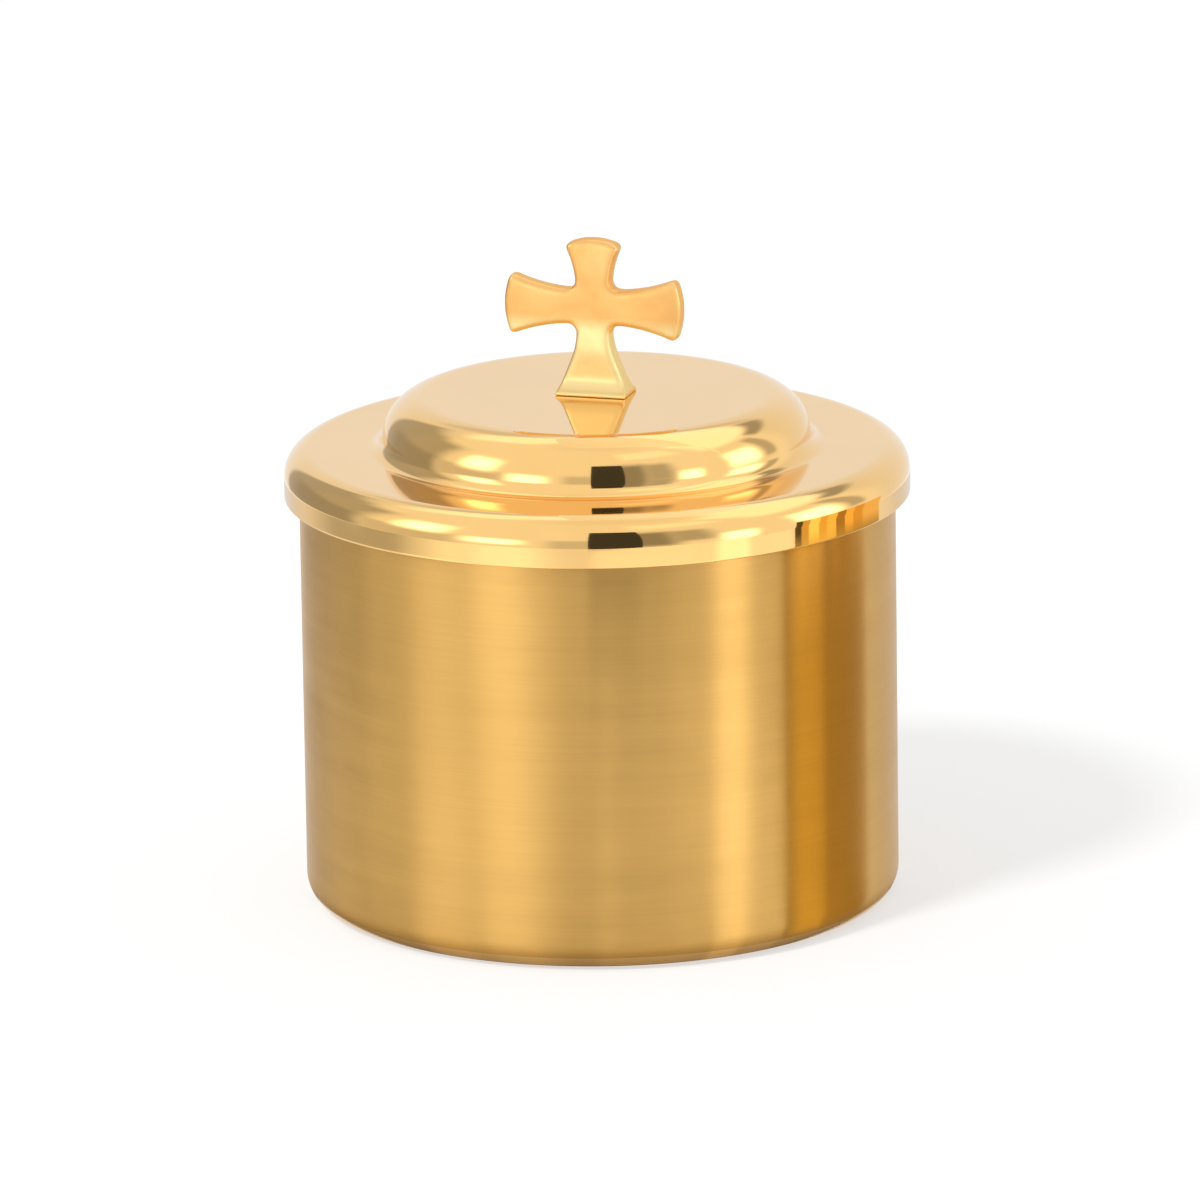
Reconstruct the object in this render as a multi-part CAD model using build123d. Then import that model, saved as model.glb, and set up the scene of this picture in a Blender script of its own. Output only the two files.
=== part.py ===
from build123d import *
from math import atan2, cos, radians, tan
import os

# Pyx: a round spun-brass host box with a lift-off lid and a cast cross on top.
# Millimetres. +Z is up and the origin is the centre of the underside of the cup.
# The cross faces -Y and its arms lie along X.

# Cup
cup_radius = 44.0             # outside of the wall
cup_height = 65.9             # underside to mouth
cup_sheet = 1.0               # wall and base are one sheet
cup_corner = 4.1              # outside round between wall and base
mouth_round = 0.3             # burnished edges of the mouth

# Lid, spun from one sheet
lid_sheet = 1.0
lid_overhang = 2.2            # rim outside the cup wall
lid_drop = 7.15               # rim, from the top of the flange to its lower edge
lid_corner = 4.0              # outside round of the rim
boss_radius = 31.8            # raised middle, where its wall meets the flange
boss_lean = 6.5               # lean of its wall, degrees
boss_rise = 7.7               # top of the boss above the flange
boss_shoulder = 6.3           # outside round of the boss
boss_foot = 2.35              # hollow round where the boss leaves the flange
rim_edge_round = 0.3          # burnished lower edge of the rim

# Flanged collar soldered under the lid. Its flange rests on the mouth and its skirt centres the lid.
collar_play = 0.5             # loose all round, the lid lifts straight off
collar_wall = 1.2
collar_depth = 6.0            # skirt below the mouth
collar_lead = 0.5             # taper at the lower outside edge
collar_seat = 1.5             # thickness of the flange
collar_inset = 0.2            # flange edge inside the outer face of the cup
corner_gap = 0.1              # between the flange edge and the hollow of the lid's rim

# Cross
cross_height = 23.4           # foot to top
cross_span = 27.1             # across the arms
cross_bar_height = 13.1       # foot to the middle of the arms
cross_thickness = 3.0         # arms, front to back
arm_waist = 5.2               # arms where they leave the middle
arm_end = 9.4                 # side arms across their ends
crown_end = 8.6               # top arm across its end
arm_end_bulge = 1.0           # how far the ends round outwards
arm_crotch = 1.3              # round in the four inner corners
arm_tip = 0.7                 # round at the corners of the ends
stem_swell = 0.4              # how far the stem stands out from the arms, front and back
stem_slope = 4.4              # height over which it comes out, below the arms
stem_bend = 9.0               # round where the upright stem starts to widen
foot_width = 10.7
foot_depth = 6.4
foot_taper = 6.8              # height over which the stem widens to the foot, seen from the front
foot_cove = 2.1               # height of the hollow above the lip, seen from the side
foot_lip = 0.5                # upright edge of the foot
cross_edge = 0.5              # softened edges of the casting

# Fixing of the cross, from inside the lid
screw_radius = 1.25
screw_engagement = 4.5        # length inside the cross
screw_head_radius = 2.5
screw_head_height = 1.7
screw_head_crown = 0.6        # round of the head's edge
slot_width = 0.7
slot_depth = 0.9
thread_gap = 0.03             # between the screw and the tapped hole
blind_gap = 0.8               # hole beyond the tip of the screw
hole_gap = 0.15               # between the screw and the sheet and washers
backing_radius = 7.0
backing_sheet = 1.0
backing_edge = 0.3            # round of the backing washer's rim
spring_radius = 2.4           # outside of the split spring washer
spring_sheet = 0.6
spring_split = 0.5            # width of the split
spring_slant = 30.0           # lean of the split, degrees

# Heights that follow from the sizes above
flange_under = cup_height + collar_seat
flange_top = flange_under + lid_sheet
rim_bottom = flange_top - lid_drop
boss_top = flange_top + boss_rise
boss_under = boss_top - lid_sheet
backing_under = boss_under - backing_sheet
spring_under = backing_under - spring_sheet
lid_radius = cup_radius + lid_overhang
collar_radius = cup_radius - cup_sheet - collar_play
hole_radius = screw_radius + hole_gap
standing = (Align.CENTER, Align.CENTER, Align.MIN)


def spun(points, rounds):
    section = make_face(FilletPolyline([(r, 0, z) for r, z in points], radius=rounds, close=True))
    return revolve(section, Axis.Z)


def cup_shell():
    inside = cup_radius - cup_sheet
    points = [
        (0, 0),
        (cup_radius, 0),
        (cup_radius, cup_height),
        (inside, cup_height),
        (inside, cup_sheet),
        (0, cup_sheet),
    ]
    rounds = [0, cup_corner, mouth_round, mouth_round, cup_corner - cup_sheet, 0]
    return spun(points, rounds)


def lid_cover():
    # The outer line from the screw hole to the rim, then the under line one sheet inside it.
    lean = radians(boss_lean)
    boss_narrow = boss_radius - boss_rise * tan(lean)
    inward = lid_sheet / cos(lean) - lid_sheet * tan(lean)
    outer = [
        (hole_radius, boss_top),
        (boss_narrow, boss_top),
        (boss_radius, flange_top),
        (lid_radius, flange_top),
        (lid_radius, rim_bottom),
    ]
    under = [
        (lid_radius - lid_sheet, rim_bottom),
        (lid_radius - lid_sheet, flange_under),
        (boss_radius - inward, flange_under),
        (boss_narrow - inward, boss_under),
        (hole_radius, boss_under),
    ]
    # The hollow takes no more of the wall than the shoulder leaves.
    wall = boss_rise / cos(lean) / tan((radians(90) - lean) / 2)
    foot = min(boss_foot, 0.99 * wall - boss_shoulder)
    outer_rounds = [0, boss_shoulder, foot, lid_corner, rim_edge_round]
    under_rounds = [
        rim_edge_round,
        lid_corner - lid_sheet,
        foot + lid_sheet,
        boss_shoulder - lid_sheet,
        0,
    ]
    return spun(outer + under, outer_rounds + under_rounds)


def lid_collar():
    inside = collar_radius - collar_wall
    bottom = cup_height - collar_depth
    edge = cup_radius - collar_inset
    # The flange edge is bevelled to clear the round inside the rim of the lid.
    hollow = lid_corner - lid_sheet
    flat = lid_radius - lid_corner
    reach = edge - flat
    bevel = hollow - (hollow**2 - reach**2) ** 0.5 + corner_gap
    points = [
        (inside, bottom),
        (collar_radius - collar_lead, bottom),
        (collar_radius, bottom + 3 * collar_lead),
        (collar_radius, cup_height),
        (edge, cup_height),
        (edge, flange_under - bevel),
        (flat, flange_under),
        (inside, flange_under),
    ]
    return spun(points, [0, 0, 0, 0, 0, 0, 0, 0])


def cross_front():
    # Outline seen from the front, the middle of the arms at the origin.
    waist = arm_waist / 2
    end = arm_end / 2
    crown = crown_end / 2
    side = cross_span / 2 - arm_end_bulge
    top = cross_height - cross_bar_height - arm_end_bulge
    bottom = -cross_bar_height
    lip = bottom + foot_lip
    bend = lip + foot_taper
    foot = foot_width / 2
    right = [
        TangentArc((waist, waist), (crown, top), tangent=(0, 1)),
        TangentArc((waist, waist), (side, end), tangent=(1, 0)),
        ThreePointArc((side, end), (side + arm_end_bulge, 0), (side, -end)),
        TangentArc((waist, -waist), (side, -end), tangent=(1, 0)),
        Line((waist, -waist), (waist, bend)),
        Line((waist, bend), (foot, lip)),
        Line((foot, lip), (foot, bottom)),
    ]
    left = [mirror(edge, Plane.YZ) for edge in right]
    cap = ThreePointArc((-crown, top), (0, top + arm_end_bulge), (crown, top))
    base = Line((-foot, bottom), (foot, bottom))
    face = make_face(right + left + [cap, base])
    crotches = face.vertices().filter_by(lambda v: abs(abs(v.X) + abs(v.Y) - 2 * waist) < 0.01)
    face = fillet(crotches, arm_crotch)
    # The bend takes no more of the upright stem than the crotch leaves.
    taper = atan2(foot - waist, foot_taper)
    room = -waist - arm_crotch - bend
    bends = face.vertices().filter_by(lambda v: abs(v.Y - bend) < 0.01)
    face = fillet(bends, min(stem_bend, 0.95 * room / tan(taper / 2)))
    tips = face.vertices().filter_by(lambda v: abs(abs(v.X) - side) < 0.01 or abs(v.Y - top) < 0.01)
    return fillet(tips, arm_tip)


def cross_side():
    # Outline seen from the side: a slab, a slightly thicker stem and a hollow above the foot.
    half = cross_thickness / 2
    stem = half + stem_swell
    foot = foot_depth / 2
    bottom = -cross_bar_height
    top = cross_height - cross_bar_height + 1
    lip = bottom + foot_lip
    slope_top = -arm_waist / 2
    slope_end = slope_top - stem_slope
    middle = ((half + stem) / 2, (slope_top + slope_end) / 2)
    front = [
        Line((half, top), (half, slope_top)),
        TangentArc((half, slope_top), middle, tangent=(0, -1)),
        TangentArc((stem, slope_end), middle, tangent=(0, 1)),
        Line((stem, slope_end), (stem, lip + foot_cove)),
        TangentArc((stem, lip + foot_cove), (foot, lip), tangent=(0, -1)),
        Line((foot, lip), (foot, bottom)),
    ]
    back = [mirror(edge, Plane.YZ) for edge in front]
    cap = Line((-half, top), (half, top))
    base = Line((-foot, bottom), (foot, bottom))
    return make_face(front + back + [cap, base])


def cross_finial():
    bar_level = boss_top + cross_bar_height
    body = extrude(Plane.XZ * cross_front(), foot_depth, both=True)
    slab = extrude(Plane.YZ * cross_side(), cross_span, both=True)
    body = Pos(0, 0, bar_level) * (body & slab)
    soft = body.edges().filter_by(lambda e: e.bounding_box().min.Z > boss_top + foot_lip + 0.01)
    body = fillet(soft, cross_edge)
    hole = Cylinder(screw_radius + thread_gap, screw_engagement + blind_gap, align=standing)
    return body - Pos(0, 0, boss_top) * hole


def finial_backing_washer():
    points = [
        (hole_radius, backing_under),
        (backing_radius, backing_under),
        (backing_radius, boss_under),
        (hole_radius, boss_under),
    ]
    return spun(points, [0, backing_edge, backing_edge, 0])


def finial_lock_washer():
    points = [
        (hole_radius, spring_under),
        (spring_radius, spring_under),
        (spring_radius, backing_under),
        (hole_radius, backing_under),
    ]
    ring = spun(points, [0, 0, 0, 0])
    one_side = (Align.MIN, Align.CENTER, Align.CENTER)
    split = Box(3 * spring_radius, spring_split, 4 * spring_sheet, align=one_side)
    return ring - Pos(0, 0, spring_under + spring_sheet / 2) * Rot(X=spring_slant) * split


def finial_screw():
    tip = boss_top + screw_engagement
    head_bottom = spring_under - screw_head_height
    points = [
        (0, head_bottom),
        (screw_head_radius, head_bottom),
        (screw_head_radius, spring_under),
        (screw_radius, spring_under),
        (screw_radius, tip - screw_radius / 4),
        (screw_radius * 0.75, tip),
        (0, tip),
    ]
    screw = spun(points, [0, screw_head_crown, 0, 0, 0, 0, 0])
    slot = Box(3 * screw_head_radius, slot_width, slot_depth, align=standing)
    return screw - Pos(0, 0, head_bottom) * slot


os.makedirs("parts", exist_ok=True)
export_step(cup_shell(), "parts/cup_shell.step")
export_step(lid_cover(), "parts/lid_cover.step")
export_step(lid_collar(), "parts/lid_collar.step")
export_step(cross_finial(), "parts/cross_finial.step")
export_step(finial_backing_washer(), "parts/finial_backing_washer.step")
export_step(finial_lock_washer(), "parts/finial_lock_washer.step")
export_step(finial_screw(), "parts/finial_screw.step")
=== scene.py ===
import bpy
import bmesh
import math
from mathutils import Matrix, Vector, noise


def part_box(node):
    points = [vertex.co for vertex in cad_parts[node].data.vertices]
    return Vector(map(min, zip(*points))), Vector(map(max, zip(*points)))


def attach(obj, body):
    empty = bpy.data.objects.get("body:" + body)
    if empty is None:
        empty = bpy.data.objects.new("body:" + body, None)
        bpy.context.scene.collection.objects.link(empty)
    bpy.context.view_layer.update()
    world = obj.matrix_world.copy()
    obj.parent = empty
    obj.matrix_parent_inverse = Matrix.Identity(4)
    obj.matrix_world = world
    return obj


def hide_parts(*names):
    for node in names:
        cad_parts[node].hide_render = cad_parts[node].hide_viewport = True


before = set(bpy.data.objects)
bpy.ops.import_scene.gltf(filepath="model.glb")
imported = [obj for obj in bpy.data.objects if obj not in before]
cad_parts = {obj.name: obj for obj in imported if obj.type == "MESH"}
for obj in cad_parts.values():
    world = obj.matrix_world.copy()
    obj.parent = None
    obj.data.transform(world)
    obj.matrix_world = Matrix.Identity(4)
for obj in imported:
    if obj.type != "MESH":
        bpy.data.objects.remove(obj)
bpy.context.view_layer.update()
mm = 0.001
scene = bpy.context.scene
scene.view_settings.view_transform = "Standard"
print("frame loaded:", ", ".join(sorted(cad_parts)))

# camera: azimuth from the front of the cross towards its right arm, angles in degrees
cameraPlace = {
    "azimuth": 16.5,
    "elevation": 14.8,
    "roll": 0.85,
    "distance": 1.8,
    "lens": 365,
    "sensor": 36,
    "clip": (0.05, 50),
    "aimHeight": 0.0445,
    "aimAside": 0.00015,
}


def direction(azimuth, elevation):
    a, e = math.radians(azimuth), math.radians(elevation)
    return Vector((math.sin(a) * math.cos(e), -math.cos(a) * math.cos(e), math.sin(e)))


def placeCamera(v):
    back = direction(v["azimuth"], v["elevation"])
    right = direction(v["azimuth"] + 90, 0)
    up = back.cross(right)
    roll = math.radians(v["roll"])
    tiltedRight = right * math.cos(roll) - up * math.sin(roll)
    tiltedUp = right * math.sin(roll) + up * math.cos(roll)
    aim = Vector((0, 0, v["aimHeight"])) + right * v["aimAside"]
    turn = Matrix((tiltedRight, tiltedUp, back)).transposed()
    lens = bpy.data.cameras.new("camera")
    lens.lens = v["lens"]
    lens.sensor_width = v["sensor"]
    lens.clip_start, lens.clip_end = v["clip"]
    camera = bpy.data.objects.new("camera", lens)
    camera.matrix_world = Matrix.Translation(aim + back * v["distance"]) @ turn.to_4x4()
    scene.collection.objects.link(camera)
    scene.camera = camera


placeCamera(cameraPlace)
print("camera placed")


def addNode(tree, kind, settings={}, sockets={}):
    # settings are the node's own, sockets are values or links for the inputs of that name or number
    node = tree.nodes.new(kind)
    for key, value in settings.items():
        setattr(node, key, value)
    for key, value in sockets.items():
        if isinstance(value, bpy.types.NodeSocket):
            tree.links.new(value, node.inputs[key])
        else:
            node.inputs[key].default_value = value
    return node


def doMath(tree, operation, a, b=0.0):
    return addNode(tree, "ShaderNodeMath", {"operation": operation}, {0: a, 1: b}).outputs[0]


def fitRange(tree, value, low, high, toLow=0.0, toHigh=1.0):
    sockets = {0: value, 1: low, 2: high, 3: toLow, 4: toHigh}
    return addNode(tree, "ShaderNodeMapRange", {}, sockets).outputs[0]


def mixColours(tree, factor, a, b, blend="MIX"):
    settings = {"data_type": "RGBA", "blend_type": blend}
    return addNode(tree, "ShaderNodeMix", settings, {0: factor, 6: a, 7: b}).outputs[2]


# light tent: angles in degrees seen from the pyx, azimuth from the camera, to its right positive
tentShape = {
    "middle": Vector((0, 0, 0.07)),
    "reach": 0.30,
    "lowest": -13,
    "cloth": 1.04,
    "areas": {    # azimuth from, to, elevation from, to, softness across, softness up, brightness
        "backCloth": (118, 242, -30, 48, 14, 12, 0.91),
        "backFold": (155, 205, 34, 52, 8, 6, 0.76),
        "roof": (-180, 180, 78, 120, 4, 10, 0.98),
        "backRoofRight": (72, 186, 43, 69, 16, 8, 1.46),
        "backRoofLeft": (180, 236, 51, 71, 16, 8, 1.42),
        "leftShadeBack": (-146, -115, -30, 41, 5, 10, 0.47),
        "leftShade": (-122, -90, -30, 41, 16, 12, 0.50),
        "leftShadeLow": (-136, -92, -30, 13, 14, 10, 0.38),
        "leftGapLow": (-92, -50, -30, 11, 12, 8, 0.74),
        "leftLamp": (-75, -56, 10, 34, 13, 16, 2.9),
        "frontLeftLamp": (-45, -27, -5, 9, 12, 11, 3.0),
        "frontLeftShade": (-17, 0, -30, 12, 9, 12, 0.72),
        "frontShade": (4, 27, -12, 36, 10, 14, 0.33),
        "frontShadeRight": (25, 40, -3, 34, 10, 12, 0.52),
        "roofRight": (16, 58, 50, 66, 10, 8, 1.28),
        "frontRightLamp": (43, 55, -12, 9, 7, 14, 3.0),
        "rightLamp": (73, 93, 0, 26, 9, 14, 2.8),
        "rightSeam": (98, 107, 0, 38, 5, 8, 0.58),
        "rightSeamTop": (114, 152, 35, 43, 10, 5, 0.42),
    },
}

# light lying on the floor round the cup, by the azimuth in which the wall of the cup mirrors it
floorSheen = {
    "wall": 0.0445,    # metres, a ring just outside the wall
    "lift": 0.0002,    # metres above the floor
    "steps": [    # metres from the wall, share of the light in red, green and blue, of the far shade
        # the first steps are painted shade at the foot of the cup, warmed like light thrown back from
        # the gold
        (-0.0045, (0.22, 0.17, 0.11), 0), (0.0, (0.46, 0.38, 0.28), 0), (0.004, (0.74, 0.68, 0.58), 0),
        (0.010, (0.92, 0.90, 0.86), 0), (0.018, (1, 1, 1), 0), (0.218, (1, 1, 1), 0),
        (0.236, (1, 1, 1), 1), (0.26, (1, 1, 1), 1),
    ],
    "farShade": (-126, -62, 34, 0.5),    # azimuth from, to, softness, share of the light taken away
    "areas": {    # azimuth from, to, softness, brightness
        "back": (134, 226, 30, 0.78),
        "frontLeft": (-78, -18, 16, 1.24),
        "leftStreak": (-76, -55, 12, 1.46),
        "frontLeftStreak": (-45, -25, 10, 1.42),
        "front": (-2, 38, 8, 1.22),
        "frontRight": (36, 76, 6, 1.20),
        "rightStreak": (44, 57, 4, 1.60),
    },
}

# warm card close to the right side of the cup, with upright stripes and a busier upper edge
warmCard = {
    "near": 0.001,    # metres from the wall: its foot, then the upright card
    "away": 0.030,
    "lift": 0.0004,
    "edge": 0.054,
    "edgeBlur": 0.002,
    "columns": 6,    # in each stripe
    "heights": (0.067, 0.062),    # at the first and the last stripe
    "stripes": [    # azimuth from, to, as above, and colours below and above the edge
        (75.5, 78.5, (0.45, 0.34, 0.13), (0.12, 0.09, 0.04)),
        (78.5, 82, (0.75, 0.58, 0.22), (0.80, 0.50, 0.14)),
        (82, 87, (0.98, 0.71, 0.20), (1.50, 1.05, 0.36)),
        (87, 91, (0.98, 0.71, 0.20), (0.95, 0.60, 0.13)),
        (91, 96, (0.98, 0.71, 0.20), (1.25, 0.80, 0.22)),
        (96, 101, (0.58, 0.40, 0.13), (0.50, 0.28, 0.06)),
        (101, 106, (0.58, 0.40, 0.13), (1.15, 0.68, 0.17)),
        (106, 112, (0.55, 0.38, 0.13), (0.85, 0.47, 0.11)),
        (112, 124, (0.52, 0.37, 0.14), (1.00, 0.66, 0.25)),
    ],
}

# dark upright gap in front, metres: sideways to the camera's right, and up
frontGap = {
    "away": 0.105, "left": -0.0053, "right": 0.0235, "low": 0.049, "high": 0.136,
    "tones": (0.06, 0.06),    # at the left and the right edge
}
# pale screen that keeps the gap out of the flat top of the lid, seen from behind
gapScreen = {
    "away": 0.026, "left": -0.006, "right": 0.0245, "low": 0.0765, "high": 0.104,
    "tones": (1.04, 1.28),
}

# floor and the light on it
roomLight = {
    "floorHalf": 9.0, "floorLevel": -0.00005,    # metres
    "floorTone": 0.40,    # share of the floor that takes light and shade, the rest stays pale
    "ambient": 0.70,
    "sunAzimuth": -42, "sunElevation": 46, "sunDistance": 3,
    "sunPower": 1.75, "sunSpread": 11,
}


def softStep(value, edge, soft):
    t = min(1.0, max(0.0, (value - edge) / soft + 0.5))
    return t * t * (3 - 2 * t)


def share(azimuth, start, end, soft):
    aside = abs((azimuth - (start + end) / 2 + 180) % 360 - 180)
    return 1 - softStep(aside, (end - start) / 2, soft)


def tentLight(azimuth, elevation):
    light = tentShape["cloth"]
    for start, end, low, high, softAcross, softUp, brightness in tentShape["areas"].values():
        part = softStep(elevation, low, softUp) * (1 - softStep(elevation, high, softUp))
        light += (brightness - light) * part * share(azimuth, start, end, softAcross)
    return light


def sheenLight(azimuth):
    light = 1.0
    for start, end, soft, brightness in floorSheen["areas"].values():
        light += (brightness - light) * share(azimuth, start, end, soft)
    return light


def glowCard(name, points, faces, colours):
    # a lit cloth or card that shows only in the metal
    mesh = bpy.data.meshes.new(name)
    mesh.from_pydata(points, [], faces)
    glow = mesh.color_attributes.new("glow", "FLOAT_COLOR", "POINT")
    for item, colour in zip(glow.data, colours):
        item.color = (*colour, 1)
    finish = bpy.data.materials.new(name)
    finish.use_nodes = True
    finish.cycles.emission_sampling = "NONE"
    tree = finish.node_tree
    tree.nodes.clear()
    colour = addNode(tree, "ShaderNodeVertexColor", {"layer_name": "glow"}).outputs["Color"]
    light = addNode(tree, "ShaderNodeEmission", {}, {"Color": colour})
    addNode(tree, "ShaderNodeOutputMaterial", {}, {"Surface": light.outputs[0]})
    mesh.materials.append(finish)
    card = bpy.data.objects.new(name, mesh)
    card.visible_camera = False
    card.visible_diffuse = False
    card.visible_shadow = False
    scene.collection.objects.link(card)


def buildTent(v):
    points, faces, colours = [], [], []
    levels, columns = range(v["lowest"], 90), range(-180, 180)
    count = len(columns)
    for elevation in levels:
        for azimuth in columns:
            outward = direction(cameraPlace["azimuth"] + azimuth, elevation)
            points.append(v["middle"] + outward * v["reach"])
            colours.append([tentLight(azimuth, elevation)] * 3)
    for j in range(len(levels) - 1):
        for i in range(count):
            k, n = j * count + i, j * count + (i + 1) % count
            faces.append((k, n, n + count, k + count))
    glowCard("lightTent", points, faces, colours)


def mirroredSpot(azimuth, away):
    # a point on the floor that the wall of the cup mirrors towards the camera in this azimuth
    wall = direction(cameraPlace["azimuth"] + azimuth / 2, 0) * floorSheen["wall"]
    return wall + direction(cameraPlace["azimuth"] + azimuth, 0) * away


def buildFloorSheen(v):
    points, faces, colours = [], [], []
    count = len(v["steps"])
    lift = Vector((0, 0, v["lift"]))
    start, end, soft, taken = v["farShade"]
    for i, azimuth in enumerate(range(-178, 179)):
        shade = taken * share(azimuth, start, end, soft)
        for away, tint, far in v["steps"]:
            points.append(mirroredSpot(azimuth, away) + lift)
            colours.append([part * sheenLight(azimuth) * (1 - far * shade) for part in tint])
        if i:
            for j in range(count - 1):
                k = i * count + j
                faces.append((k - count, k, k + 1, k - count + 1))
    last = len(points) - count    # the strip behind the cup closes the ring
    faces += [(last + j, j, j + 1, last + j + 1) for j in range(count - 1)]
    glowCard("floorSheen", points, faces, colours)


def buildWarmCard(v):
    points, faces, colours = [], [], []
    first, last = v["stripes"][0][0], v["stripes"][-1][1]
    for start, end, lower, upper in v["stripes"]:
        tones = [lower, lower, lower, upper, upper]
        rows = len(tones)
        for i in range(v["columns"] + 1):
            azimuth = start + (end - start) * i / v["columns"]
            along = (azimuth - first) / (last - first)
            height = v["heights"][0] * (1 - along) + v["heights"][1] * along
            foot = mirroredSpot(azimuth, v["away"])
            levels = (v["lift"], v["edge"], v["edge"] + v["edgeBlur"], height)
            points.append(mirroredSpot(azimuth, v["near"]) + Vector((0, 0, v["lift"])))
            points += [foot + Vector((0, 0, z)) for z in levels]
            colours += tones
            if i:
                k = len(points) - 2 * rows
                faces += [(k + j, k + j + rows, k + j + rows + 1, k + j + 1) for j in range(rows - 1)]
    glowCard("warmCard", points, faces, colours)


def buildFrontCard(name, v):
    foot = direction(cameraPlace["azimuth"], 0) * v["away"]
    aside, up = direction(cameraPlace["azimuth"] + 90, 0), Vector((0, 0, 1))
    corners = [("left", "low"), ("right", "low"), ("right", "high"), ("left", "high")]
    points = [foot + aside * v[x] + up * v[z] for x, z in corners]
    left, right = v["tones"]
    glowCard(name, points, [(0, 1, 2, 3)], [[tone] * 3 for tone in (left, right, right, left)])


def seenRays(tree):
    # camera, glossy and transmission rays see the pale background itself
    path = addNode(tree, "ShaderNodeLightPath")
    seen = doMath(tree, "MAXIMUM", path.outputs["Is Camera Ray"], path.outputs["Is Glossy Ray"])
    return doMath(tree, "MAXIMUM", seen, path.outputs["Is Transmission Ray"])


def buildFloor(v):
    half, low = v["floorHalf"], v["floorLevel"]
    mesh = bpy.data.meshes.new("floor")
    corners = [(-half, -half, low), (half, -half, low), (half, half, low), (-half, half, low)]
    mesh.from_pydata(corners, [], [(0, 1, 2, 3)])
    finish = bpy.data.materials.new("floor")
    finish.use_nodes = True
    tree = finish.node_tree
    tree.nodes.clear()
    tone = v["floorTone"]
    matt = addNode(tree, "ShaderNodeBsdfDiffuse", {}, {"Color": (tone, tone, tone, 1)})
    pale = doMath(tree, "MULTIPLY", seenRays(tree), 1 - tone)
    glow = addNode(tree, "ShaderNodeEmission", {}, {"Strength": pale})
    both = addNode(tree, "ShaderNodeAddShader", {}, {0: matt.outputs[0], 1: glow.outputs[0]})
    clear = addNode(tree, "ShaderNodeBsdfTransparent")
    under = addNode(tree, "ShaderNodeNewGeometry").outputs["Backfacing"]
    shown = addNode(tree, "ShaderNodeMixShader", {}, {0: under, 1: both.outputs[0], 2: clear.outputs[0]})
    addNode(tree, "ShaderNodeOutputMaterial", {}, {"Surface": shown.outputs[0]})
    mesh.materials.append(finish)
    floor = bpy.data.objects.new("floor", mesh)
    scene.collection.objects.link(floor)


def buildRoomLight(v):
    light = bpy.data.lights.new("softSun", "SUN")
    light.energy = v["sunPower"]
    light.angle = math.radians(v["sunSpread"])
    sun = bpy.data.objects.new("softSun", light)
    outward = direction(cameraPlace["azimuth"] + v["sunAzimuth"], v["sunElevation"])
    facing = outward.to_track_quat("Z", "Y").to_matrix().to_4x4()
    sun.matrix_world = Matrix.Translation(outward * v["sunDistance"]) @ facing
    sun.visible_glossy = False
    scene.collection.objects.link(sun)
    world = bpy.data.worlds.new("paleRoom")
    scene.world = world
    world.use_nodes = True
    tree = world.node_tree
    tree.nodes.clear()
    strength = fitRange(tree, seenRays(tree), 0, 1, v["ambient"], 1.0)
    room = addNode(tree, "ShaderNodeBackground", {}, {"Color": (1, 1, 1, 1), "Strength": strength})
    addNode(tree, "ShaderNodeOutputWorld", {}, {"Surface": room.outputs[0]})


buildFloor(roomLight)
buildRoomLight(roomLight)
buildTent(tentShape)
buildFloorSheen(floorSheen)
buildWarmCard(warmCard)
buildFrontCard("frontGap", frontGap)
buildFrontCard("gapScreen", gapScreen)
print("studio built:", len(tentShape["areas"]), "areas in the tent")


def newGroup(name, inputs, outputs):
    group = bpy.data.node_groups.new(name, "ShaderNodeTree")
    for label, value in inputs.items():
        kind = "NodeSocketColor" if isinstance(value, tuple) else "NodeSocketFloat"
        group.interface.new_socket(label, in_out="INPUT", socket_type=kind).default_value = value
    for label, kind in outputs.items():
        group.interface.new_socket(label, in_out="OUTPUT", socket_type=kind)
    return group, addNode(group, "NodeGroupInput").outputs, addNode(group, "NodeGroupOutput").inputs


noiseLow, noiseHigh = 0.3, 0.7    # the range that the noise fills
spinShape = {"bandShare": 0.08, "detail": 4.0, "roughness": 0.65, "bandDetail": 2.0}
markShape = {"detail": 5.0, "roughness": 0.6, "distortion": 0.8, "from": 0.46, "to": 0.72}
toneShape = {"detail": 3.0}


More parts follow.
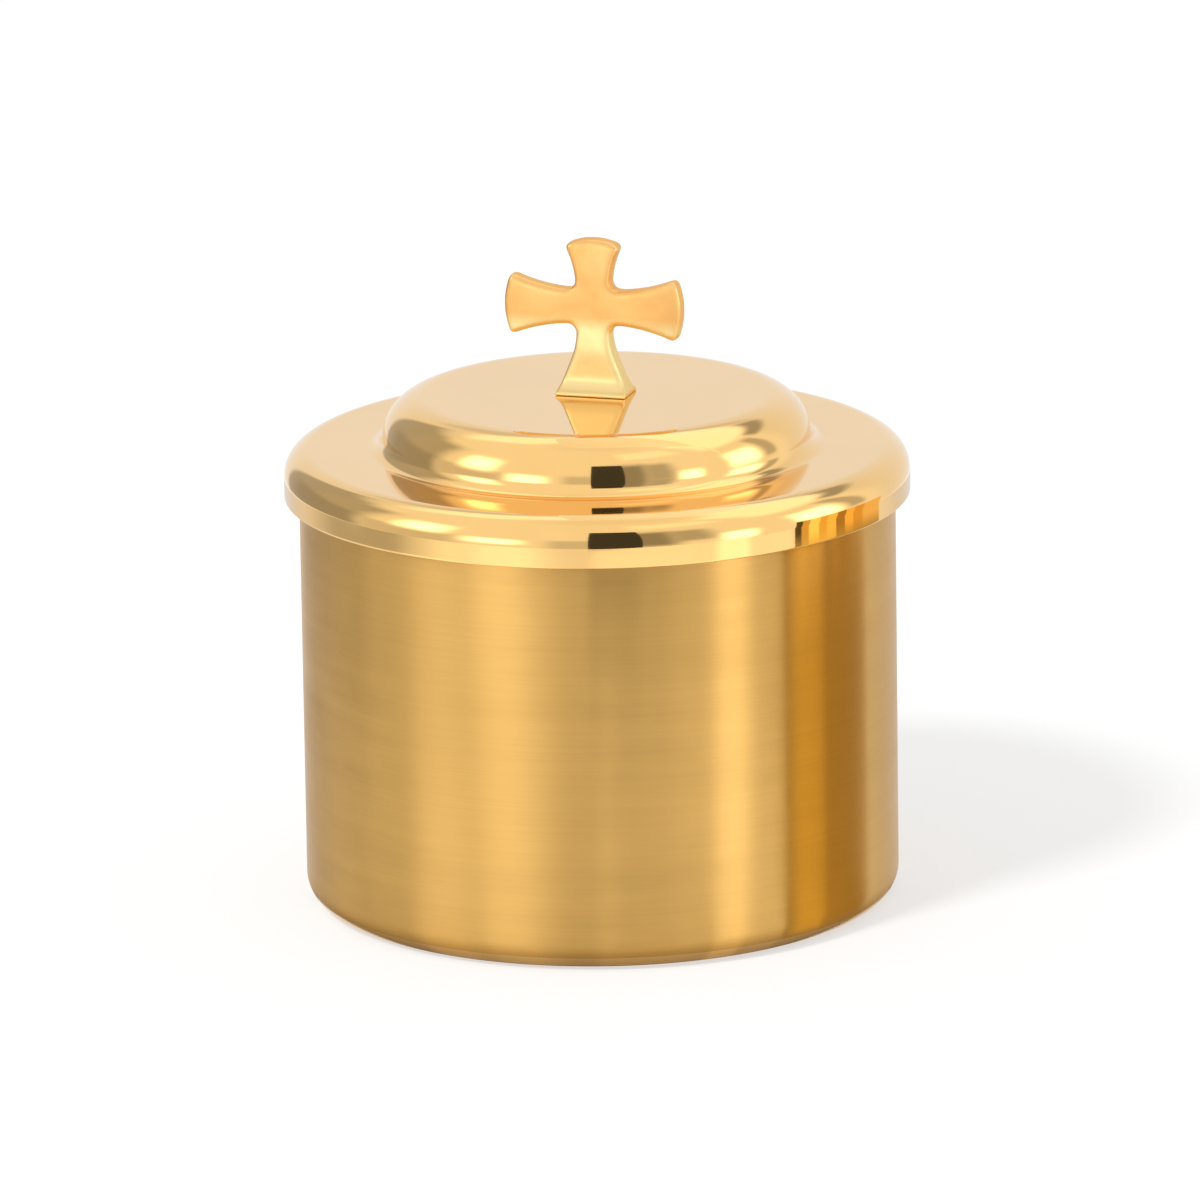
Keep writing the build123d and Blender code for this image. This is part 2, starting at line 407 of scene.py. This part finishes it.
def spinLinesGroup(v):
    # fine lines round the axis: brushing on the walls, turning marks on the flats
    group, given, out = newGroup("spinLines", {"Density": 4000.0, "Reach": 2.0},
                                 {"Lines": "NodeSocketFloat", "Bands": "NodeSocketFloat"})
    place = addNode(group, "ShaderNodeTexCoord").outputs["Object"]
    split = addNode(group, "ShaderNodeSeparateXYZ", {}, {0: place}).outputs
    level = addNode(group, "ShaderNodeCombineXYZ", {}, {0: split[0], 1: split[1]}).outputs[0]
    radius = addNode(group, "ShaderNodeVectorMath", {"operation": "LENGTH"}, {0: level}).outputs["Value"]
    outward = addNode(group, "ShaderNodeVectorMath", {"operation": "NORMALIZE"}, {0: level}).outputs[0]
    along = addNode(group, "ShaderNodeSeparateXYZ", {}, {0: outward}).outputs
    across = doMath(group, "MULTIPLY", doMath(group, "SUBTRACT", split[2], radius), given["Density"])
    x = doMath(group, "MULTIPLY", along[0], given["Reach"])
    y = doMath(group, "MULTIPLY", along[1], given["Reach"])
    fineAt = addNode(group, "ShaderNodeCombineXYZ", {}, {0: x, 1: y, 2: across}).outputs[0]
    wide = doMath(group, "MULTIPLY", across, v["bandShare"])
    wideAt = addNode(group, "ShaderNodeCombineXYZ", {}, {0: x, 1: y, 2: wide}).outputs[0]
    fineSockets = {"Vector": fineAt, "Scale": 1.0, "Detail": v["detail"], "Roughness": v["roughness"]}
    fine = addNode(group, "ShaderNodeTexNoise", {}, fineSockets)
    bandSockets = {"Vector": wideAt, "Scale": 1.0, "Detail": v["bandDetail"]}
    bands = addNode(group, "ShaderNodeTexNoise", {}, bandSockets)
    group.links.new(fine.outputs[0], out["Lines"])
    group.links.new(bands.outputs[0], out["Bands"])
    return group


def handMarksGroup(v):
    # soft cloudy smears left by wiping and handling
    group, given, out = newGroup("handMarks", {"Size": 0.02}, {"Smear": "NodeSocketFloat"})
    place = addNode(group, "ShaderNodeTexCoord").outputs["Object"]
    scale = doMath(group, "DIVIDE", 1.0, given["Size"])
    sockets = {"Vector": place, "Scale": scale, "Detail": v["detail"],
               "Roughness": v["roughness"], "Distortion": v["distortion"]}
    cloud = addNode(group, "ShaderNodeTexNoise", {}, sockets)
    group.links.new(fitRange(group, cloud.outputs[0], v["from"], v["to"]), out["Smear"])
    return group


def goldToneGroup(v):
    # the metal drifts between a deeper and a paler gold
    inputs = {"Deep": (0.8, 0.5, 0.2, 1.0), "Pale": (0.9, 0.6, 0.3, 1.0), "Size": 0.03}
    group, given, out = newGroup("goldTone", inputs, {"Colour": "NodeSocketColor"})
    place = addNode(group, "ShaderNodeTexCoord").outputs["Object"]
    scale = doMath(group, "DIVIDE", 1.0, given["Size"])
    sockets = {"Vector": place, "Scale": scale, "Detail": v["detail"]}
    drift = addNode(group, "ShaderNodeTexNoise", {}, sockets)
    paleShare = fitRange(group, drift.outputs[0], noiseLow, noiseHigh)
    group.links.new(mixColours(group, paleShare, given["Deep"], given["Pale"]), out["Colour"])
    return group


def edgeShineGroup():
    # convex edges found by pointiness, rubbed bright by polishing; on the cross they also carry a
    # painted highlight
    group, given, out = newGroup("edgeShine", {"From": 0.52, "To": 0.62}, {"Edge": "NodeSocketFloat"})
    sharp = addNode(group, "ShaderNodeNewGeometry").outputs["Pointiness"]
    group.links.new(fitRange(group, sharp, given["From"], given["To"]), out["Edge"])
    return group


spinLines = spinLinesGroup(spinShape)
handMarks = handMarksGroup(markShape)
goldTone = goldToneGroup(toneShape)
edgeShine = edgeShineGroup()


def startFinish(name):
    finish = bpy.data.materials.new(name)
    finish.use_nodes = True
    shader = finish.node_tree.nodes["Principled BSDF"]
    shader.inputs["Metallic"].default_value = 1.0
    return finish, finish.node_tree, shader


def placeGroup(tree, group, sockets):
    return addNode(tree, "ShaderNodeGroup", {"node_tree": group}, sockets).outputs


def greyValue(tree, value):
    return addNode(tree, "ShaderNodeCombineColor", {}, {0: value, 1: value, 2: value}).outputs[0]


def goldColour(tree, v):
    sockets = {"Deep": v["deep"], "Pale": v["pale"], "Size": v["toneSize"]}
    return placeGroup(tree, goldTone, sockets)["Colour"]


def linedSurface(tree, shader, v):
    # roughness and bump of a brushed or turned face, gives back its fine lines
    lines = placeGroup(tree, spinLines, {"Density": v["lineDensity"], "Reach": v["lineReach"]})
    smear = placeGroup(tree, handMarks, {"Size": v["smearSize"]})["Smear"]
    half = v["lineRough"] / 2
    rough = fitRange(tree, lines["Bands"], noiseLow, noiseHigh, v["rough"] - half, v["rough"] + half)
    rough = doMath(tree, "ADD", rough, doMath(tree, "MULTIPLY", smear, v["smearRough"]))
    sockets = {"Strength": v["lineStrength"], "Distance": v["lineDepth"], "Height": lines["Lines"]}
    bump = addNode(tree, "ShaderNodeBump", {}, sockets)
    tree.links.new(rough, shader.inputs["Roughness"])
    tree.links.new(bump.outputs[0], shader.inputs["Normal"])
    return lines["Lines"]


def setLacquer(shader, v):
    shader.inputs["Specular Tint"].default_value = v["edgeTint"]
    shader.inputs["Coat Weight"].default_value = v["lacquer"]
    shader.inputs["Coat Roughness"].default_value = v["lacquerRough"]


satinCup = {
    "deep": (0.615, 0.358, 0.098, 1), "pale": (0.68, 0.402, 0.116, 1), "toneSize": 0.035,
    "lineDensity": 3600, "lineReach": 1.6, "lineTint": 0.03,
    "rough": 0.30, "lineRough": 0.05, "smearRough": 0.03, "smearSize": 0.018,
    "lineDepth": 0.00001, "lineStrength": 0.12,
    "grain": 1.0, "grainTurn": 0.25,
    "lacquer": 0.12, "lacquerRough": 0.2, "edgeTint": (0.97, 0.90, 0.80, 1),
}


def satinCupFinish(v):
    finish, tree, shader = startFinish("satinCup")
    lines = linedSurface(tree, shader, v)
    streak = fitRange(tree, lines, noiseLow, noiseHigh, 1 - v["lineTint"], 1 + v["lineTint"])
    colour = mixColours(tree, 1.0, goldColour(tree, v), greyValue(tree, streak), "MULTIPLY")
    tree.links.new(colour, shader.inputs["Base Color"])
    around = addNode(tree, "ShaderNodeTangent", {"direction_type": "RADIAL", "axis": "Z"})
    tree.links.new(around.outputs[0], shader.inputs["Tangent"])
    shader.inputs["Anisotropic"].default_value = v["grain"]
    shader.inputs["Anisotropic Rotation"].default_value = v["grainTurn"]
    setLacquer(shader, v)
    return finish


polishedLid = {
    "deep": (0.905, 0.562, 0.188, 1), "pale": (0.945, 0.602, 0.216, 1), "toneSize": 0.02,
    "lineDensity": 5200, "lineReach": 2.5,
    "rough": 0.05, "lineRough": 0.02, "smearRough": 0.04, "smearSize": 0.014,
    "lineDepth": 0.000004, "lineStrength": 0.08,
    "lacquer": 0.55, "lacquerRough": 0.03, "edgeTint": (1.0, 0.985, 0.95, 1),
}
lidInside = {
    "deep": (0.82, 0.54, 0.225, 1), "pale": (0.89, 0.61, 0.27, 1), "toneSize": 0.02,
    "lineDensity": 3000, "lineReach": 1.2,
    "rough": 0.27, "lineRough": 0.04, "smearRough": 0.02, "smearSize": 0.014,
    "lineDepth": 0.000004, "lineStrength": 0.04,
    "lacquer": 0.4, "lacquerRough": 0.12, "edgeTint": (1.0, 0.92, 0.8, 1),
}
fixingBrass = {
    "deep": (0.52, 0.35, 0.125, 1), "pale": (0.64, 0.44, 0.17, 1), "toneSize": 0.02,
    "lineDensity": 5000, "lineReach": 0.9,
    "rough": 0.30, "lineRough": 0.14, "smearRough": 0.10, "smearSize": 0.014,
    "lineDepth": 0.000015, "lineStrength": 0.35,
    "lacquer": 0.0, "lacquerRough": 0.1, "edgeTint": (1, 1, 1, 1),
}
springSteel = {
    "deep": (0.30, 0.30, 0.31, 1), "pale": (0.40, 0.39, 0.38, 1), "toneSize": 0.02,
    "lineDensity": 6000, "lineReach": 1.0,
    "rough": 0.36, "lineRough": 0.14, "smearRough": 0.10, "smearSize": 0.014,
    "lineDepth": 0.00001, "lineStrength": 0.35,
    "lacquer": 0.0, "lacquerRough": 0.1, "edgeTint": (1, 1, 1, 1),
}


def turnedFinish(name, v):
    finish, tree, shader = startFinish(name)
    linedSurface(tree, shader, v)
    tree.links.new(goldColour(tree, v), shader.inputs["Base Color"])
    setLacquer(shader, v)
    return finish


castCross = {
    "deep": (0.80, 0.425, 0.125, 1), "pale": (0.88, 0.52, 0.19, 1), "toneSize": 0.008,
    "rough": 0.36, "roughDrift": 0.10, "smearSize": 0.006, "edgeGloss": 0.04,
    "edgeWearAndHighlight": (0.98, 0.72, 0.32, 1), "edgeWearAndHighlightShare": 0.75,    # the edges: worn bright, with a painted highlight over the dark reflections there
    "edgeFrom": 0.51, "edgeTo": 0.56,
    "stemHighlight": (0.88, 0.72, 0.34, 1), "stemHighlightShare": 0.78,    # painted highlight: the stem paler up to just below the arms
    "highlightUpTo": 10.0, "highlightFade": 1.8,    # mm above the foot
    "skinDepth": 0.00004, "skinStrength": 0.4,
    "skinScale": 1400.0, "skinDetail": 4.0, "skinRoughness": 0.6,
    "lacquer": 0.10, "lacquerRough": 0.25, "edgeTint": (1.0, 0.88, 0.66, 1),
}


def castCrossFinish(v):
    finish, tree, shader = startFinish("castCross")
    smear = placeGroup(tree, handMarks, {"Size": v["smearSize"]})["Smear"]
    edge = placeGroup(tree, edgeShine, {"From": v["edgeFrom"], "To": v["edgeTo"]})["Edge"]
    place = addNode(tree, "ShaderNodeTexCoord").outputs["Object"]
    sockets = {"Vector": place, "Scale": v["skinScale"], "Detail": v["skinDetail"],
               "Roughness": v["skinRoughness"]}
    skin = addNode(tree, "ShaderNodeTexNoise", {}, sockets).outputs[0]
    rough = doMath(tree, "ADD", doMath(tree, "MULTIPLY", smear, v["roughDrift"]), v["rough"])
    rough = doMath(tree, "SUBTRACT", rough, doMath(tree, "MULTIPLY", edge, v["edgeGloss"]))
    sockets = {"Strength": v["skinStrength"], "Distance": v["skinDepth"], "Height": skin}
    bump = addNode(tree, "ShaderNodeBump", {}, sockets)
    # painted highlight on the stem, up to just below the arms
    height = addNode(tree, "ShaderNodeSeparateXYZ", {}, {0: place}).outputs[2]
    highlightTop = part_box("cross_finial")[0].z + v["highlightUpTo"] * mm
    stemHighlight = fitRange(tree, height, highlightTop, highlightTop + v["highlightFade"] * mm, v["stemHighlightShare"], 0.0)
    colour = mixColours(tree, stemHighlight, goldColour(tree, v), v["stemHighlight"])
    # edges worn bright by polishing, partly a painted highlight that lightens the dark reflections on
    # them
    edgeWearAndHighlight = doMath(tree, "MULTIPLY", edge, v["edgeWearAndHighlightShare"])
    colour = mixColours(tree, edgeWearAndHighlight, colour, v["edgeWearAndHighlight"])
    tree.links.new(colour, shader.inputs["Base Color"])
    tree.links.new(rough, shader.inputs["Roughness"])
    tree.links.new(bump.outputs[0], shader.inputs["Normal"])
    setLacquer(shader, v)
    return finish


finishes = {
    "satinCup": satinCupFinish(satinCup),
    "polishedLid": turnedFinish("polishedLid", polishedLid),
    "lidInside": turnedFinish("lidInside", lidInside),
    "castCross": castCrossFinish(castCross),
    "fixingBrass": turnedFinish("fixingBrass", fixingBrass),
    "springSteel": turnedFinish("springSteel", springSteel),
}
print("finishes made:", ", ".join(finishes))


def turnedSection(corners, step=6.0, hug=0.12):
    # corners are radius, height and round in mm
    # loops beside each round keep the flats flat in reflections
    count = len(corners)
    spots = [Vector(c[:2]) for c in corners]
    halves, trims = [], []
    for i in range(count):
        before, after = spots[i - 1] - spots[i], spots[(i + 1) % count] - spots[i]
        halves.append(before.angle(after) / 2)
        trims.append(corners[i][2] / math.tan(halves[i]))
    line = []
    for i, here in enumerate(spots):
        rounded, half, trim = corners[i][2], halves[i], trims[i]
        if rounded == 0:
            line.append(here)
            continue
        before, after = spots[i - 1] - here, spots[(i + 1) % count] - here
        u, v = before.normalized(), after.normalized()
        centre = here + (u + v).normalized() * rounded / math.sin(half)
        turn = math.pi - 2 * half
        if u.x * v.y - u.y * v.x > 0:
            turn = -turn
        arm = here + u * trim - centre
        steps = max(4, round(abs(math.degrees(turn)) / step))
        near = min(hug, rounded / 3)
        if before.length - trim - trims[i - 1] > 3 * near:
            line.append(here + u * (trim + near))
        for k in range(steps + 1):
            angle = turn * k / steps
            line.append(centre + Vector((arm.x * math.cos(angle) - arm.y * math.sin(angle),
                                         arm.x * math.sin(angle) + arm.y * math.cos(angle))))
        if after.length - trim - trims[(i + 1) % count] > 3 * near:
            line.append(here + v * (trim + near))
    return line


def turnPiece(name, section, around, finishNames, insideTest):
    bm = bmesh.new()
    rings = []
    for point in section:
        if point.x < 1e-6:
            rings.append([bm.verts.new((0, 0, point.y * mm))])
            continue
        ring = []
        reach = point.x * mm
        for k in range(around):
            angle = 2 * math.pi * k / around
            place = (reach * math.cos(angle), reach * math.sin(angle), point.y * mm)
            ring.append(bm.verts.new(place))
        rings.append(ring)
    for i, ring in enumerate(rings):
        other = rings[(i + 1) % len(rings)]
        if len(ring) == 1 and len(other) == 1:
            continue
        for k in range(around):
            quad = [ring[k % len(ring)], ring[(k + 1) % len(ring)],
                    other[(k + 1) % len(other)], other[k % len(other)]]
            bm.faces.new(list(dict.fromkeys(quad)))
    bmesh.ops.recalc_face_normals(bm, faces=bm.faces)
    for face in bm.faces:
        face.smooth = True
        middle = face.calc_center_median()
        away = math.hypot(middle.x, middle.y)
        out = (middle.x * face.normal.x + middle.y * face.normal.y) / max(1e-9, away)
        inside = insideTest(away / mm, middle.z / mm, out, face.normal.z)
        face.material_index = 1 if inside else 0
    mesh = bpy.data.meshes.new(name)
    bm.to_mesh(mesh)
    bm.free()
    for finish in finishNames:
        mesh.materials.append(finishes[finish])
    piece = bpy.data.objects.new(name, mesh)
    scene.collection.objects.link(piece)
    return piece


def boxOf(node):
    # lowest and highest corner in mm
    low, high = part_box(node)
    return Vector(low) / mm, Vector(high) / mm


# cup, mm
cupShape = {"sheet": 1.0, "corner": 4.1, "mouth": 0.3, "around": 240}


def buildCup(v):
    top = boxOf("cup_shell")[1]
    radius, height = top.x, top.z
    inner = radius - v["sheet"]
    corners = [
        (0, 0, 0), (radius, 0, v["corner"]), (radius, height, v["mouth"]),
        (inner, height, v["mouth"]), (inner, v["sheet"], v["corner"] - v["sheet"]), (0, v["sheet"], 0),
    ]
    cup = turnPiece("satin_cup", turnedSection(corners), v["around"], ["satinCup", "lidInside"],
                    lambda r, z, out, up: r < inner + v["sheet"] / 2 and z > v["sheet"] / 2)
    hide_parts("cup_shell")
    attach(cup, "cup")


# lid, mm and degrees
lidShape = {
    "sheet": 1.0, "rimRound": 4.0, "edge": 0.3, "hole": 1.4, "holeEdge": 0.1, "around": 240,
    "bossRadius": 31.8, "bossRise": 7.7, "bossLean": 6.5, "bossRound": 6.3, "bossFoot": 2.29,
}


def buildLid(v):
    s = v["sheet"]
    low, high = boxOf("lid_cover")
    radius, rimBottom, bossTop = high.x, low.z, high.z
    top = bossTop - v["bossRise"]
    lean = math.radians(v["bossLean"])
    narrow = v["bossRadius"] - v["bossRise"] * math.tan(lean)
    inward = s / math.cos(lean) - s * math.tan(lean)
    corners = [
        (v["hole"], bossTop, v["holeEdge"]), (narrow, bossTop, v["bossRound"]),
        (v["bossRadius"], top, v["bossFoot"]), (radius, top, v["rimRound"]),
        (radius, rimBottom, v["edge"]), (radius - s, rimBottom, v["edge"]),
        (radius - s, top - s, v["rimRound"] - s),
        (v["bossRadius"] - inward, top - s, v["bossFoot"] + s),
        (narrow - inward, bossTop - s, v["bossRound"] - s), (v["hole"], bossTop - s, v["holeEdge"]),
    ]
    section = turnedSection(corners, step=5.0)
    lid = turnPiece("polished_lid", section, v["around"], ["polishedLid", "lidInside"],
                    lambda r, z, out, up: out < 0.01 and up < 0.01)
    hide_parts("lid_cover")
    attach(lid, "lid")


# collar under the lid, mm
collarShape = {
    "wall": 1.2, "play": 1.5, "lead": 0.5, "seat": 1.5, "inset": 0.2, "flat": 1.8, "bevel": 0.562,
    "soft": 0.12, "around": 240,
}


def buildCollar(v):
    soft = v["soft"]
    low, high = boxOf("lid_collar")
    edge, bottom, seatTop = high.x, low.z, high.z
    cupRadius = edge + v["inset"]
    outer = cupRadius - v["play"]
    inner = outer - v["wall"]
    corners = [
        (inner, bottom, soft), (outer - v["lead"], bottom, soft),
        (outer, bottom + 3 * v["lead"], soft), (outer, seatTop - v["seat"], soft),
        (edge, seatTop - v["seat"], soft), (edge, seatTop - v["bevel"], soft),
        (cupRadius - v["flat"], seatTop, soft), (inner, seatTop, soft),
    ]
    section = turnedSection(corners, step=20.0)
    collar = turnPiece("lid_ring", section, v["around"], ["lidInside"], lambda r, z, out, up: False)
    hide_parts("lid_collar")
    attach(collar, "lid")


# cross, mm: the casting is skinned afresh, then rubbed soft and a little uneven
crossShape = {
    "skin": 0.16, "rubs": 30, "rubDepth": 0.5,
    "lipHeight": 0.7, "lipFade": 1.2, "lipRub": 0.12,    # the lip of the foot is rubbed least
    "uneven": 0.025, "unevenSize": 3.2,
}


def buildCross(v):
    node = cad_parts["cross_finial"]
    rough = bpy.data.objects.new("roughCasting", node.data.copy())
    scene.collection.objects.link(rough)
    skin = rough.modifiers.new("skin", "REMESH")
    skin.mode = "VOXEL"
    skin.voxel_size = v["skin"] * mm
    bpy.context.view_layer.update()
    skinned = rough.evaluated_get(bpy.context.evaluated_depsgraph_get())
    mesh = bpy.data.meshes.new_from_object(skinned)
    bpy.data.objects.remove(rough)
    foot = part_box("cross_finial")[0].z

    def aboveLip(vert, least):
        above = (vert.co.z - foot) / mm - v["lipHeight"]
        return min(1.0, max(least, above / v["lipFade"]))

    bm = bmesh.new()
    bm.from_mesh(mesh)
    for rub in range(v["rubs"]):
        places = []
        for vert in bm.verts:
            beside = [edge.other_vert(vert).co for edge in vert.link_edges]
            middle = sum(beside, Vector()) / len(beside)
            places.append(vert.co.lerp(middle, v["rubDepth"] * aboveLip(vert, v["lipRub"])))
        for vert, place in zip(bm.verts, places):
            vert.co = place
    bm.normal_update()
    for vert in bm.verts:
        swell = noise.noise(vert.co / (v["unevenSize"] * mm)) - 0.5
        vert.co += vert.normal * swell * v["uneven"] * mm * aboveLip(vert, 0.0)
    for face in bm.faces:
        face.smooth = True
    bm.to_mesh(mesh)
    bm.free()
    mesh.name = "cast_cross"
    mesh.materials.clear()
    mesh.materials.append(finishes["castCross"])
    cross = bpy.data.objects.new("cast_cross", mesh)
    scene.collection.objects.link(cross)
    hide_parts("cross_finial")
    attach(cross, "lid")


buildCup(cupShape)
print("cup built")
buildLid(lidShape)
buildCollar(collarShape)
print("lid and collar built")
buildCross(crossShape)
print("cross built")

fixings = {
    "finial_screw": "fixingBrass",
    "finial_backing_washer": "fixingBrass",
    "finial_lock_washer": "springSteel",
}
for nodeName, finishName in fixings.items():
    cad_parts[nodeName].material_slots[0].material = finishes[finishName]
print("fixings finished")
